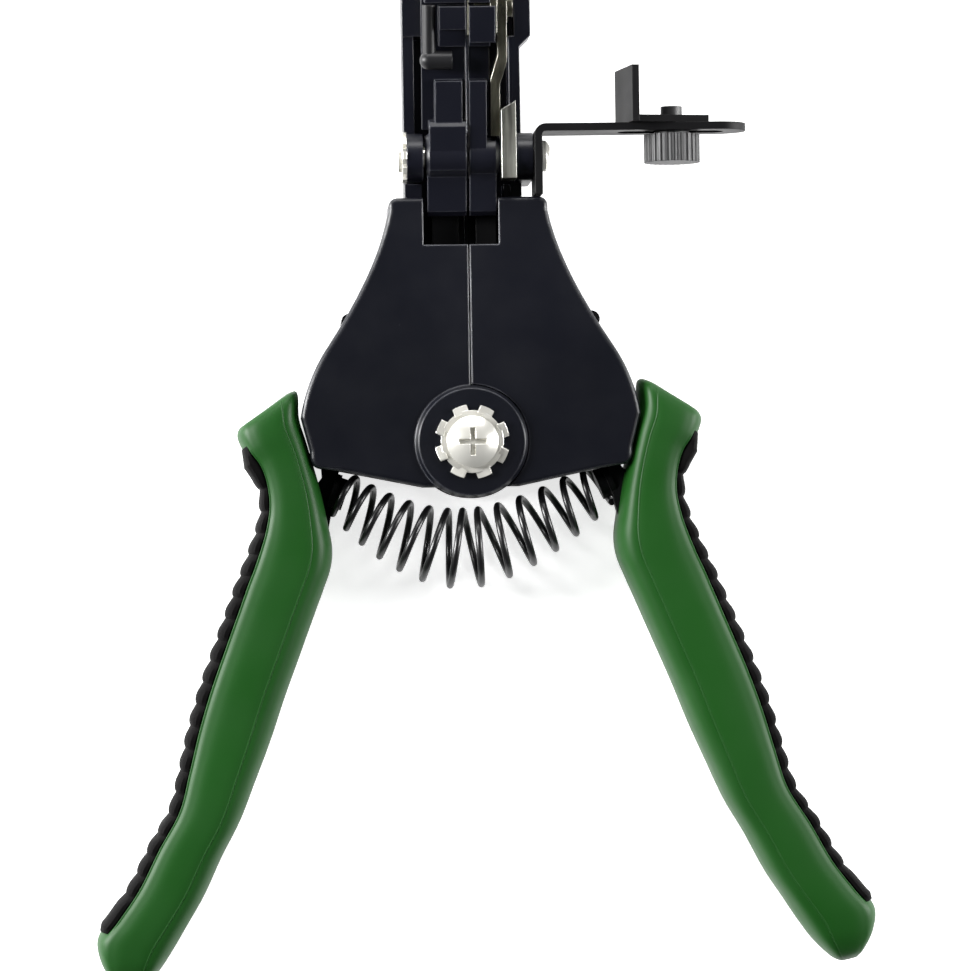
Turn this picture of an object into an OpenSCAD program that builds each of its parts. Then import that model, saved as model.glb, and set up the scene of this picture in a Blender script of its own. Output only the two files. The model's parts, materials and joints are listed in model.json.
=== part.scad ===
// Automatic wire stripper, lying on its back: +Z is the front, +Y points to the jaw tips.
// The origin is on the main pivot axis, in the plane of the flat backs.
// Each side is drawn on the +X side and mirrored for the left.

/* [Body] */
// Height of the body from its flat back to its front face
body_t = 17; // [16:0.25:18.5]
// Thickness of the front and back plates
plate_t = 1.6; // [1.3:0.1:1.7]
// Thickness of the side walls
wall_t = 1.8; // [1.4:0.1:2.2]
// Distance from the pivot to the top edge of the body
body_top = 45.4; // [44.6:0.2:46.2]
// Half width of the body at its top edge
top_half_w = 14.8; // [14:0.2:16]
// Radius of the swollen flanks about the pivot
flank_r = 32; // [31.4:0.1:32.2]
// Depth of the body's lower corners below the pivot
heel_depth = 5.2; // [4.6:0.1:5.8]
// Radius of the rounded front and back edges
rim_r = 0.9; // [0.5:0.1:1.2]
// Gap between the left and right halves
seam_gap = 0.3; // [0.2:0.05:0.5]
// Height at which covers and frames part
part_line_z = 9; // [8.6:0.1:9.4]
// Depth of the tail window below the top edge
window_depth = 8.8; // [8:0.2:10]

/* [Pivot] */
// Radius of the pivot sleeve
sleeve_r = 4; // [3.5:0.1:4.4]
// Radius of the raised round boss at its foot
boss_r = 10.5; // [10.2:0.1:11.2]
// Radius of the boss at its top
boss_top_r = 9.9; // [9.3:0.1:10]
// Height of the boss above the front face
boss_h = 1.2; // [0.8:0.1:1.6]
// Radius of the inner lap discs
lap_r = 9.3; // [9:0.1:9.6]
// Diameter of the pan head of the pivot screw
pan_d = 9.5; // [8.5:0.1:10]
// Outer diameter of the toothed lock washer
washer_d = 13.8; // [13.4:0.2:15]
// Number of teeth on the lock washer
washer_teeth = 8; // [6:1:12]

/* [Handles] */
// Distance from the pivot that the grip outline is drawn to
grip_reach = 100; // [99:0.5:101]
// Thickness of the grips
grip_t = 18; // [17.5:0.1:18]
// Thickness of the lever plates
lever_t = 2.6; // [2.2:0.1:2.6]
// Radius of the lever eyes round the pivot
lever_eye_r = 7.5; // [7:0.1:7.8]
// How far the ribbed inserts stand proud of the grips
insert_t = 1.1; // [0.9:0.1:1.4]
// Number of ribs on each insert
rib_count = 22; // [18:1:24]
// Turn of each handle that closes the jaws, in degrees
squeeze_angle = 12; // [10:0.5:12]
// How far the pair of handles leans to the right of the body at rest, in degrees
handle_lean = 1.5; // [0:0.1:1.6]

/* [Springs] */
// Wire diameter of the handle spring
spring_wire = 1.3; // [1:0.05:1.4]
// Coils of the handle spring
spring_coils = 13; // [11:1:15]
// Coil radius of the handle spring at its middle
spring_mid_r = 7.1; // [6.8:0.1:7.2]
// Coil radius of the handle spring at its ends
spring_end_r = 4; // [3.6:0.1:4.2]
// Wire diameter of the spring that pulls the halves together
frame_wire = 0.8; // [0.6:0.05:0.8]
// Coils of the spring that pulls the halves together
frame_coils = 18; // [14:1:18]

/* [Head] */
// Distance from the pivot to the jaw pins
pin_y = 52.9; // [52.6:0.1:53.4]
// Height of the jaw pins above the back
pin_z = 15.5; // [15.3:0.1:15.7]
// Radius of the jaw pins
pin_r = 2; // [1.7:0.1:2.2]
// Distance from the pivot to the jaw tips
jaw_tip = 97; // [95:0.5:99]
// Height of the closed jaws' meeting plane above the back
bite_z = 12.5; // [12.3:0.05:12.6]
// How far the upper jaws stand open at rest, in degrees
open_angle = 12; // [10:0.5:12]
// Radius of the hinge ears
ear_r = 4.4; // [4:0.1:4.6]

/* [Wire stop] */
// Thickness of the bracket's sheet
sheet_t = 1.4; // [1.2:0.1:1.6]
// Width of the bracket's sheet
sheet_w = 10.4; // [9.6:0.2:11]
// Reach of the bracket from the pivot axis
stop_reach = 52; // [50:0.5:54]
// Place of the thumb screw, as a share of the bracket's reach
thumb_share = 0.735; // [0.72:0.005:0.745]
// Diameter of the thumb screw's knob
knob_d = 10.4; // [9.6:0.2:11]
// Height of the stop plate above the bracket
flag_h = 10.4; // [9:0.2:12]
// Turn of the slider about the thumb screw, in degrees
slider_turn = 10; // [8:1:14]

/* [Hidden] */
LEFT = 0;
RIGHT = 1;
$fn = 48;

// Clearances and overrun
run_gap = 0.05;
slip_gap = 0.2;
fit_gap = 0.1;
over = 1;

// Colours
cast_colour = [0.10, 0.11, 0.14];
black_colour = [0.07, 0.07, 0.08];
green_colour = [0.10, 0.42, 0.17];
steel_colour = [0.62, 0.62, 0.58];
bright_colour = [0.82, 0.82, 0.78];

// Stack of discs and eyes on the pivot sleeve, from the back to the front
plate_z = body_t - plate_t;
back_disc_t = plate_t * 1.75;
back_lap_z = back_disc_t + slip_gap;
back_lap_t = plate_t;
left_lever_z = part_line_z - fit_gap - lever_t;
right_lever_z = part_line_z + fit_gap;
left_eye_z = back_lap_z + back_lap_t + slip_gap;
front_lap_z = plate_z - slip_gap - plate_t;
right_eye_top = front_lap_z - slip_gap;
sleeve_flange_r = sleeve_r * 1.6;
sleeve_flange_t = plate_t * 0.75;
boss_z = body_t + boss_h;
washer_t = boss_h * 0.85;
pan_h = pan_d * 0.27;
screw_r = sleeve_r * 0.65;

// Head widths on the left and right sides, measured from the seam plane
head_gap = seam_gap;
ear_t = 3;
ear_out = [11.3, 12.1];
hub_w = [7.6, 5.7];
hub_r = [4.5, 4.1];
arm_w = [5.7, 3.9];
cheek_t = 2.1;
wall_out = [11.6, 10.4];
arm_base_z = plate_t * 0.7;
arm_floor_t = 3;
arm_wall_top = 10;
tip_start = jaw_tip * 0.784;
tip_chamfer = 3;
flare_out = 12.5;
flare_t = 3.1;
flare_run = 1.8;
shelf_top = 11.6;
shelf_run = 2.9;

// Jaw tails and the wedges under them
tail_len = 10.7;
tail_top = 3.1;
tail_bevel = 1;
tail_thin_z = 1.2;
tail_lug_z = -0.9;
tail_lug_t = 1.4;
tail_w = [7.2, 5.0];
crank_x = 15.5;
crank_y = 14.5;
crank_reach = norm([crank_x, crank_y]);
crank_turn = atan2(crank_y, crank_x);
wedge_travel = crank_reach * (sin(crank_turn) - sin(crank_turn - squeeze_angle));
crank_pin_r = 1.5;
crank_root = [[-1, 5], [9, 1]];
crank_slot_gap = 0.15;
foot_z = right_lever_z + lever_t + slip_gap;
foot_t = right_eye_top - foot_z;
bar_w = [5, 3.8];
bar_x = 1.6;
bar_z = 9.5;
bar_top = 12;
foot_half = crank_pin_r * 1.8;
foot_end_x = crank_x + foot_half * 2.07;
ramp_top = 14.05;
ramp_start = pin_y - tail_len * 0.81;
ramp_run = 1.9;
ramp_end = pin_y - tail_len * 0.51;

// Blades, pads and their screws
blade_t = 1.2;
blade_x = head_gap + arm_w[RIGHT] + fit_gap;
blade_arm_t = 1.7;
small_screw_r = 1.25;
small_head_r = 2.2;
small_head_t = 1.1;
blade_screw_ys = [jaw_tip * 0.835, jaw_tip * 0.938];
blade_step = 1;
lower_blade_foot = bite_z * 0.39;
lower_screw_z = bite_z * 0.64;
upper_screw_z = pin_z + small_screw_r * 0.16;
pad_t = 2;
bite_gap = 0.15;
tooth_pitch = 1;
tooth_h = 0.4;

// Points on a quadratic curve from a to c, pulled towards b
function curve(a, b, c, n) = [for (i = [0 : n])
    let (t = i / n) a * (1 - t) * (1 - t) + b * 2 * t * (1 - t) + c * t * t];

// Points on an arc round a centre
function arc(centre, r, from, to, n) = [for (i = [0 : n])
    let (a = from + (to - from) * i / n) centre + r * [cos(a), sin(a)]];

// Corner radii and angles of the body's outline
corner_r = 1.6;
heel_r = 2.2;
flank_from = 32;
flank_to = 9;
heel_x = flank_r * 0.756;
heel_out_x = flank_r * 0.937;
boss_edge_x = boss_r * 0.83;
boss_edge_y = boss_r * 0.8;

// Hollow stretch of the flank below the top corner, drawn in by d
function flank_curve(d, below) = curve([top_half_w - d, body_top - below],
    [top_half_w * 1.142 - d, body_top * 0.71],
    (flank_r - d) * [cos(flank_from + 2), sin(flank_from + 2)], 9);

// Outline of the right half, drawn in by d
function half_outline(d) = concat(
    [[seam_gap / 2, body_top - d]],
    arc([top_half_w - corner_r, body_top - corner_r], corner_r - d * 0.9, 90, 0, 4),
    flank_curve(d, corner_r * 1.6),
    arc([0, 0], flank_r - d, flank_from, flank_to, 12),
    [[heel_out_x - d, -heel_r * 0.6]],
    arc([heel_out_x - heel_r - d * 0.4, -heel_r * 1.1], heel_r - d * 0.6, -8, -78, 5),
    [[heel_x, -heel_depth + d], [boss_edge_x, -boss_edge_y + d],
        [seam_gap / 2, -boss_edge_y + d]]);

// Hollow inside a half: open towards the seam and at the bottom
function half_hollow(d) = concat(
    [[-over, body_top - d]],
    arc([top_half_w - corner_r - d, body_top - corner_r - d], corner_r, 90, 0, 4),
    flank_curve(d, corner_r * 2),
    arc([0, 0], flank_r - d, flank_from, flank_to, 12),
    [[heel_out_x - d, -heel_r], [heel_out_x - d, -boss_r - over], [-over, -boss_r - over]]);

// Solid skin over rings of equal point counts, closed at both ends
module skin(rings) {
    n = len(rings[0]);
    m = len(rings);
    points = [for (ring = rings) each ring];
    sides = [for (k = [0 : m - 2]) for (i = [0 : n - 1])
        let (a = k * n + i, b = k * n + (i + 1) % n)
        each [[a, b, b + n], [a, b + n, a + n]]];
    low = [for (i = [0 : n - 1]) n - 1 - i];
    high = [for (i = [0 : n - 1]) (m - 1) * n + i];
    polyhedron(points, concat(sides, [low, high]), convexity = 6);
}

function lift(outline, z) = [for (p = outline) [p[0], p[1], z]];

// Half body block between two heights, with its top edge rounded
module half_block(low, high) {
    steps = 3;
    skin(concat(
        [lift(half_outline(0), low)],
        [for (i = [0 : steps])
            let (a = 90 * i / steps)
            lift(half_outline(rim_r * (1 - cos(a))), high - rim_r + rim_r * sin(a))]));
}

module mirrored(side) {
    mirror([side == LEFT ? 1 : 0, 0, 0]) children();
}

// Cylinder along X from x0 to x1 at a place in Y and Z
module x_rod(x0, x1, y, z, r) {
    translate([x0, y, z]) rotate([0, 90, 0]) cylinder(h = x1 - x0, r = r);
}

// Block between two corners
module block(low, high) {
    translate(low) cube(high - low);
}

// Profile drawn in Y and Z, standing between x0 and x1
module y_z_plate(x0, x1, outline) {
    translate([x0, 0, 0]) rotate([90, 0, 90]) linear_extrude(x1 - x0) polygon(outline);
}

body_screw_places = [[top_half_w * 0.757, body_top * 0.9], [flank_r * 0.814, flank_r * 0.325]];
body_screw_r = 1.2;
body_screw_head_r = 2.1;
body_post_r = 2.3;

module body_posts(low, high) {
    for (p = body_screw_places) translate([p[0], p[1], low]) cylinder(h = high - low, r = body_post_r);
}

module body_screw_holes(low, high) {
    for (p = body_screw_places)
        translate([p[0], p[1], low]) cylinder(h = high - low, r = body_screw_r + fit_gap);
}

window_w = [8.4, 5.6];
stud_x = [flank_r * 0.697, flank_r * 0.71];
stud_y = 22.6;
stud_r = 1.55;
guide_y = 28;
guide_len = 5;

// Lower jaw arm of one side, with its ear, cheek and tip
module lower_arm(side) {
    outer = ear_out[side];
    inner = outer - ear_t;
    wall = wall_out[side];
    difference() {
        union() {
            block([head_gap, body_top - wall_t, arm_base_z],
                [wall, jaw_tip - over, arm_base_z + arm_floor_t]);
            block([wall - cheek_t, body_top - wall_t, arm_base_z],
                [wall, tip_start, part_line_z - fit_gap]);
            block([wall - cheek_t, body_top + fit_gap, arm_base_z], [wall, tip_start, arm_wall_top]);
            block([head_gap, pin_y + hub_r[side] + over, arm_base_z],
                [head_gap + cheek_t * 0.7, jaw_tip - over, arm_wall_top - over]);
            tip_wall(side);
            // Ear round the pin
            x_rod(inner, outer, pin_y, pin_z, ear_r);
            block([inner, pin_y - ear_r, arm_base_z], [outer, pin_y + ear_r, pin_z]);
            // Shelf below the ear
            block([inner - cheek_t * side, body_top + fit_gap, arm_base_z],
                [wall, body_top + shelf_run, shelf_top - pin_r * side]);
            tip_block(side);
        }
        x_rod(inner - over, outer + over, pin_y, pin_z, pin_r + run_gap);
        if (side == RIGHT) lower_blade_room();
    }
}

// Side wall of the tip, which flares out on the right side
module tip_wall(side) {
    out = side == LEFT ? wall_out[LEFT] : flare_out;
    in = side == LEFT ? wall_out[LEFT] - cheek_t : flare_out - flare_t;
    translate([0, 0, arm_base_z]) linear_extrude(arm_wall_top - arm_base_z) polygon([
        [in, tip_start - flare_run - fit_gap], [wall_out[side], tip_start - flare_run - fit_gap],
        [out, tip_start + fit_gap], [out, jaw_tip - over], [in, jaw_tip - over]]);
}

module tip_block(side) {
    top = side == LEFT ? bite_z - pad_t - bite_gap : bite_z - blade_step;
    y_z_plate(head_gap, side == LEFT ? wall_out[LEFT] : blade_x - fit_gap / 2, [[tip_start, arm_base_z],
        [jaw_tip - tip_chamfer, arm_base_z], [jaw_tip, arm_base_z + tip_chamfer], [jaw_tip, top],
        [tip_start, top]]);
}

module lower_blade_room() {
    block([blade_x - fit_gap / 2, tip_start - fit_gap, lower_blade_foot - 2 * slip_gap],
        [blade_x + blade_t + blade_arm_t + 4 * fit_gap, jaw_tip + over, arm_wall_top + over]);
    for (y = blade_screw_ys)
        x_rod(head_gap + over, blade_x + over, y, lower_screw_z, small_screw_r + run_gap);
}

// Block that guides the wedge's bar
module wedge_guide(side) {
    difference() {
        block([bar_x - over, guide_y, plate_t / 2],
            [bar_x + bar_w[side] + over, guide_y + guide_len, bar_top - fit_gap]);
        block([bar_x - fit_gap, guide_y - over, bar_z - fit_gap],
            [bar_x + bar_w[side] + fit_gap, guide_y + guide_len + over, bar_top + over]);
    }
}

// Back half of the body on one side, without its lap disc
module frame_shell(side) {
    difference() {
        translate([0, 0, part_line_z - fit_gap / 2]) mirror([0, 0, 1])
            half_block(0, part_line_z - fit_gap / 2);
        translate([0, 0, plate_t]) linear_extrude(body_t) polygon(half_hollow(wall_t));
        block([head_gap, body_top - wall_t - over, arm_base_z + arm_floor_t],
            [wall_out[side] - cheek_t, body_top + over, body_t]);
        // Notch round the anchor stud
        translate([stud_x[side], stud_y, plate_t]) cylinder(h = body_t, r = stud_r + fit_gap);
    }
    intersection() {
        body_posts(plate_t / 2, part_line_z - fit_gap / 2);
        linear_extrude(body_t) polygon(half_outline(rim_r));
    }
}

module frame_left() {
    color(cast_colour) difference() {
        union() {
            mirrored(LEFT) {
                difference() {
                    frame_shell(LEFT);
                    translate([0, 0, -over]) cylinder(h = body_t, r = boss_r + slip_gap);
                }
                lower_arm(LEFT);
                wedge_guide(LEFT);
                back_lap();
            }
        }
        mirrored(LEFT) back_cuts();
        translate([0, 0, -over]) cylinder(h = body_t, r = sleeve_r + run_gap);
    }
}

// Inner lap disc of the left frame, joined to the plate by a raised rim on its own side
module back_lap() {
    translate([0, 0, back_lap_z]) cylinder(h = back_lap_t, r = lap_r);
    difference() {
        intersection() {
            cylinder(h = back_lap_z + back_lap_t, r = boss_r + wall_t);
            block([boss_r * 0.35, -boss_r * 0.78, 0], [boss_r * 2, boss_r * 1.2, body_t]);
        }
        translate([0, 0, -over]) cylinder(h = over + back_lap_z - fit_gap / 2, r = boss_r + slip_gap);
        translate([0, 0, -over]) cylinder(h = body_t, r = lap_r - over);
    }
}

module back_cuts() {
    body_screw_holes(-over, body_t);
    for (p = body_screw_places) translate([p[0], p[1], -over])
        cylinder(h = over + plate_t, r = body_screw_head_r + fit_gap);
}

module frame_right() {
    color(cast_colour) difference() {
        union() {
            difference() {
                frame_shell(RIGHT);
                // Room for the left frame's raised rim is all on its own side
                translate([0, 0, plate_t]) cylinder(h = body_t, r = boss_r);
            }
            cylinder(h = back_disc_t, r = boss_r);
            lower_arm(RIGHT);
            wedge_guide(RIGHT);
        }
        back_cuts();
        translate([0, 0, -over]) cylinder(h = body_t, r = sleeve_r + run_gap);
        translate([0, 0, -over]) cylinder(h = over + sleeve_flange_t + fit_gap, r = sleeve_flange_r + slip_gap);
    }
}

// Front half of the body on one side, without its lap disc
module cover_shell(side) {
    difference() {
        half_block(part_line_z + fit_gap / 2, body_t);
        linear_extrude(plate_z) polygon(half_hollow(wall_t));
        block([-over, body_top - window_depth, 0], [window_w[side], body_top + over, body_t + over]);
        translate([stud_x[side], stud_y, 0]) cylinder(h = plate_z, r = stud_r + fit_gap);
    }
    intersection() {
        body_posts(part_line_z + fit_gap / 2, plate_z + plate_t / 2);
        linear_extrude(body_t) polygon(half_outline(rim_r));
    }
}

module cover_left() {
    color(cast_colour) difference() {
        union() {
            mirrored(LEFT) cover_shell(LEFT);
            translate([0, 0, plate_z]) cylinder(h = plate_t, r = boss_r);
            translate([0, 0, body_t]) cylinder(h = boss_h, r1 = boss_r, r2 = boss_top_r);
        }
        mirrored(LEFT) body_screw_holes(0, plate_z - over);
        cylinder(h = body_t + boss_h + over, r = sleeve_r + run_gap);
    }
}

module cover_right() {
    color(cast_colour) difference() {
        union() {
            difference() {
                cover_shell(RIGHT);
                translate([0, 0, front_lap_z + plate_t])
                    cylinder(h = body_t, r = boss_r + slip_gap);
            }
            translate([0, 0, front_lap_z]) cylinder(h = plate_t, r = lap_r);
            front_lap_rim();
        }
        body_screw_holes(0, plate_z - over);
        cylinder(h = body_t + over, r = sleeve_r + run_gap);
    }
}

// Raised rim that joins the right cover's lap disc to its plate
module front_lap_rim() {
    difference() {
        intersection() {
            translate([0, 0, front_lap_z])
                cylinder(h = plate_z + plate_t / 2 - front_lap_z, r = boss_r + wall_t);
            block([boss_r * 0.35, -boss_r * 0.78, 0], [boss_r * 2, boss_r * 1.2, body_t]);
        }
        translate([0, 0, front_lap_z + plate_t]) cylinder(h = body_t, r = boss_r + slip_gap);
        cylinder(h = body_t, r = lap_r - over);
    }
}

module body_screws(side) {
    color(steel_colour) mirrored(side) for (p = body_screw_places) translate([p[0], p[1], 0]) {
        translate([0, 0, plate_t / 4]) cylinder(h = plate_t * 0.75, r = body_screw_head_r);
        cylinder_between(plate_t, plate_z - 2 * over, body_screw_r);
    }
}

module cylinder_between(low, high, r) {
    translate([0, 0, low]) cylinder(h = high - low, r = r);
}

// Flanged sleeve nut, set in from the back
module pivot_sleeve() {
    color(steel_colour) difference() {
        union() {
            cylinder(h = sleeve_flange_t, r = sleeve_flange_r);
            cylinder(h = boss_z - fit_gap, r = sleeve_r);
        }
        translate([0, 0, sleeve_flange_t]) cylinder(h = body_t * 2, r = screw_r + run_gap);
    }
}

module pivot_screw() {
    head_z = boss_z + washer_t;
    color(bright_colour) difference() {
        union() {
            cylinder_between(sleeve_flange_t + over, head_z, screw_r);
            pan_head(head_z, pan_d / 2, pan_h);
        }
        for (a = [0, 90]) translate([0, 0, head_z + pan_h * 0.45]) rotate([0, 0, a])
            translate([-pan_d * 0.27, -pan_d * 0.05, 0]) cube([pan_d * 0.54, pan_d * 0.1, pan_h]);
    }
}

// Domed pan head standing on z
module pan_head(z, r, h) {
    edge = h * 0.35;
    dome_r = (r * r + (h - edge) * (h - edge)) / (2 * (h - edge));
    translate([0, 0, z]) intersection() {
        cylinder(h = h, r = r);
        translate([0, 0, h - dome_r]) sphere(r = dome_r);
    }
}

// Lock washer with twisted outer teeth
module pivot_lock_washer() {
    ring_r = washer_d * 0.42;
    tooth_w = washer_d * 0.2;
    color(bright_colour) translate([0, 0, boss_z]) difference() {
        union() {
            translate([0, 0, washer_t * 0.25]) cylinder(h = washer_t * 0.5, r = ring_r);
            for (i = [0 : washer_teeth - 1]) rotate([0, 0, 20 + 360 * i / washer_teeth])
                intersection() {
                    translate([ring_r - over / 2, 0, washer_t / 2]) rotate([14, 0, 0])
                        translate([0, -tooth_w / 2, -washer_t * 0.25])
                        cube([washer_d / 2 - ring_r + over / 2, tooth_w, washer_t * 0.5]);
                    cylinder(h = washer_t, r = washer_d / 2);
                }
        }
        translate([0, 0, -over]) cylinder(h = washer_t + 2 * over, r = screw_r + fit_gap);
    }
}

// Widths of the handles go with the flanks, and their lengths with the grips' reach
grip_span = flank_r * 3.125;
grip_hold = 0.15;
function grip_y(v) = v > -grip_hold ? v * grip_span : (v + grip_hold) * grip_reach - grip_hold * grip_span;

// Outline of the right lever from its eye to the end of its tang, as shares of those
lever_shares = [[0.03, 0.066], [0.14, 0.062], [0.24, 0.044], [0.276, 0.02], [0.281, -0.025],
    [0.28, -0.055], [0.305, -0.085], [0.335, -0.125], [0.355, -0.2], [0.376, -0.27],
    [0.406, -0.345], [0.475, -0.54], [0.52, -0.68], [0.575, -0.79], [0.54, -0.808],
    [0.48, -0.705], [0.423, -0.565], [0.35, -0.365], [0.31, -0.26], [0.286, -0.195],
    [0.272, -0.155], [0.264, -0.12], [0.258, -0.07], [0.243, -0.036], [0.12, -0.062], [0.03, -0.068]];
lever_outline = [for (p = lever_shares) [p[0] * grip_span, grip_y(p[1])]];

// Turns a handle's outer pieces from the body's axis to where they stand at rest
module leaning() {
    rotate([0, 0, handle_lean]) children();
}

// Crank arm that carries the pin for the wedge
crank_outline = [crank_root[0], [crank_x - crank_pin_r * 2, crank_y + crank_pin_r * 0.8],
    [crank_x + crank_pin_r * 1.07, crank_y + crank_pin_r * 1.73],
    [crank_x + crank_pin_r * 2, crank_y - crank_pin_r * 1.07], crank_root[1]];

seat_x = grip_span * 0.263;
seat_y = -grip_span * 0.08;
seat_tilt = 21;
seat_plate_t = 1.1;
seat_plate_r = 3.4;
seat_peg_h = 2.8;
seat_peg_r = spring_end_r - spring_wire / 2 - 2 * slip_gap;

// Seat and peg for the end of the handle spring
module spring_seat() {
    translate([seat_x, seat_y, part_line_z]) rotate([0, -90, seat_tilt]) {
        cylinder(h = seat_plate_t, r = seat_plate_r);
        cylinder(h = seat_peg_h, r = seat_peg_r);
    }
}

module lever(side, z) {
    low = side == LEFT ? left_eye_z : z;
    high = side == LEFT ? z + lever_t : right_eye_top;
    color(black_colour) difference() {
        union() {
            translate([0, 0, z]) linear_extrude(lever_t) union() {
                leaning() mirrored(side) polygon(lever_outline);
                mirrored(side) polygon(crank_outline);
            }
            leaning() mirrored(side) spring_seat();
            mirrored(side) translate([crank_x, crank_y, z]) cylinder(h = foot_z + foot_t - z, r = crank_pin_r);
            translate([0, 0, low]) cylinder(h = high - low, r = lever_eye_r);
        }
        cylinder(h = body_t, r = sleeve_r + run_gap);
    }
}

// Grip stations from the top to the bottom, as shares like the lever's:
// inner edge X and Y, outer edge X and Y, then the share of the full thickness
grip_station_shares = [
    [0.345, 0.099, 0.418, 0.047, 0.62], [0.331, 0.105, 0.431, 0.039, 0.82],
    [0.325, 0.092, 0.434, 0.022, 0.94], [0.324, 0.055, 0.422, -0.006, 1],
    [0.314, 0.010, 0.401, -0.034, 1], [0.304, -0.040, 0.390, -0.068, 1],
    [0.288, -0.090, 0.388, -0.108, 1], [0.272, -0.145, 0.397, -0.148, 1],
    [0.265, -0.187, 0.410, -0.183, 1], [0.269, -0.225, 0.425, -0.220, 1],
    [0.283, -0.263, 0.438, -0.250, 1], [0.302, -0.310, 0.452, -0.286, 1],
    [0.334, -0.390, 0.482, -0.362, 1], [0.364, -0.465, 0.511, -0.437, 1],
    [0.393, -0.543, 0.535, -0.510, 1], [0.425, -0.620, 0.555, -0.587, 1],
    [0.455, -0.690, 0.576, -0.662, 1], [0.491, -0.755, 0.616, -0.730, 1],
    [0.526, -0.825, 0.655, -0.802, 1], [0.560, -0.880, 0.696, -0.858, 1],
    [0.587, -0.923, 0.727, -0.897, 0.97], [0.613, -0.960, 0.723, -0.940, 0.9],
    [0.640, -0.988, 0.705, -0.974, 0.74], [0.655, -0.997, 0.692, -0.990, 0.5]];
ring_points = 24;
ring_power = 0.62;
last_station = len(grip_station_shares) - 1;

// A station between the listed ones
function station(s) = let (i = min(floor(s), last_station - 1), t = s - i)
    grip_station_shares[i] * (1 - t) + grip_station_shares[i + 1] * t;

function bulge(v) = sign(v) * pow(abs(v), ring_power);

// Point on the grip's surface at angle a round a station, pushed out by d
function grip_point(s, a, d) = let (
    row = station(s),
    inner = [row[0] * grip_span, grip_y(row[1])],
    outer = [row[2] * grip_span, grip_y(row[3])],
    middle = (inner + outer) / 2,
    across = (outer - inner) / 2,
    half = norm(across),
    u = bulge(cos(a)) * (half + d),
    w = bulge(sin(a)) * (grip_t * row[4] / 2 + d))
    [middle[0] + across[0] / half * u, middle[1] + across[1] / half * u, grip_t / 2 + w];

module grip_body() {
    skin([for (s = [0 : last_station]) [for (i = [0 : ring_points - 1])
        grip_point(s, -360 * i / ring_points, 0)]]);
}

// Pocket for the lever's tang
module tang_pocket(z) {
    translate([0, 0, z - run_gap]) linear_extrude(lever_t + 2 * run_gap)
        offset(delta = run_gap) polygon(lever_outline);
}

module grip(side, z) {
    color(green_colour) leaning() mirrored(side) difference() {
        grip_body();
        tang_pocket(z);
        seat_room();
    }
}

// Room in the grip for the rim of the spring's seat
module seat_room() {
    translate([seat_x, seat_y, part_line_z]) rotate([0, -90, seat_tilt])
        translate([0, 0, -fit_gap]) cylinder(h = seat_plate_t + seat_peg_h, r = seat_plate_r + slip_gap);
}

// The ribbed insert: its end stations, and its width as steps of the grip's ring
insert_stations = [4.1, 19.4];
insert_ring_steps = 6;
rib_steps = 4;
rib_depth_share = 0.82;
insert_thin_share = 0.35;

// Lengths along the grip's outer edge from its top to each station
outer_edge = [for (row = grip_station_shares) [row[2] * grip_span, grip_y(row[3])]];
edge_steps = [for (i = [1 : last_station]) norm(outer_edge[i] - outer_edge[i - 1])];
function run_to(i) = i == 0 ? 0 : edge_steps[i - 1] + run_to(i - 1);
edge_runs = [for (i = [0 : last_station]) [run_to(i), i]];
function run_at(s) = run_to(floor(s)) + (s - floor(s)) * edge_steps[floor(s)];
insert_runs = [run_at(insert_stations[0]), run_at(insert_stations[1])];

// One ring of the ribbed insert: outer arc, then inner arc back
function insert_ring(k) = let (
    total = rib_count * rib_steps,
    s = lookup(insert_runs[0] + (insert_runs[1] - insert_runs[0]) * k / total, edge_runs),
    ends = min(1, min(k, total - k) / rib_steps + insert_thin_share),
    rib = insert_t * rib_depth_share * (1 - abs(sin(180 * k / rib_steps))),
    d = ends * (insert_t - rib) + fit_gap,
    n = insert_ring_steps,
    step = 360 / ring_points)
    concat(
        [for (i = [0 : n]) let (edge = (i == 0 || i == n) ? insert_thin_share : 1)
            grip_point(s, step * (n / 2 - i), d * edge)],
        [for (i = [0 : n]) grip_point(s, step * (i - n / 2), fit_gap * insert_thin_share)]);

module grip_insert(side) {
    color(black_colour) leaning() mirrored(side)
        skin([for (k = [0 : rib_count * rib_steps]) insert_ring(k)]);
}

// Handle spring: a barrel coil whose line sags below the pivot between the two seats
spring_from_seat = seat_plate_t + spring_wire / 2 + fit_gap;
spring_span = seat_x - spring_from_seat * cos(seat_tilt);
spring_sag = 11.2;
spring_sag_power = 1.75;
spring_waist_power = 1.4;
// The middle coils hang a little to the left
spring_shift = 1.9;
spring_low = seat_y - spring_from_seat * sin(seat_tilt) - spring_sag;
// The coils fan out quickly in the middle and then keep their slant
spring_fan = 24;
spring_fan_share = 0.32;
// How much faster the coils run on at their tops than at their bottoms
spring_rush = 0.95;
spring_rings = 8;
spring_sides = 6;
spring_crowd = 0.13;
function spring_u(u) = u * (1 + spring_crowd - spring_crowd * u * u);
function spring_r(t) = spring_mid_r - (spring_mid_r - spring_end_r) * pow(abs(t), spring_waist_power);
function spring_point(k) = let (
    n = spring_coils * spring_rings,
    turn = 360 * k / spring_rings,
    rush = spring_rings * spring_rush * sin(turn) / (2 * PI),
    t = spring_u(2 * (k - rush) / n - 1),
    tilt = spring_fan * t * norm([1, spring_fan_share]) / norm([t, spring_fan_share]),
    r = spring_r(t),
    across = [sin(tilt), -cos(tilt), 0])
    [spring_span * t - spring_shift * (1 - t * t),
        spring_low + spring_sag * pow(abs(t), spring_sag_power), part_line_z]
        + across * r * cos(turn) + [0, 0, r * sin(turn)];

function unit(v) = v / norm(v);

// Ring of points round a path point, square to the path
function tube_ring(p, before, after, r, sides) = let (
    along = unit(after - before),
    side = unit(cross(along, [0.31, 0.17, 0.93])),
    up = cross(side, along))
    [for (i = [0 : sides - 1]) let (a = 360 * i / sides) p + side * r * cos(a) + up * r * sin(a)];

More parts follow.
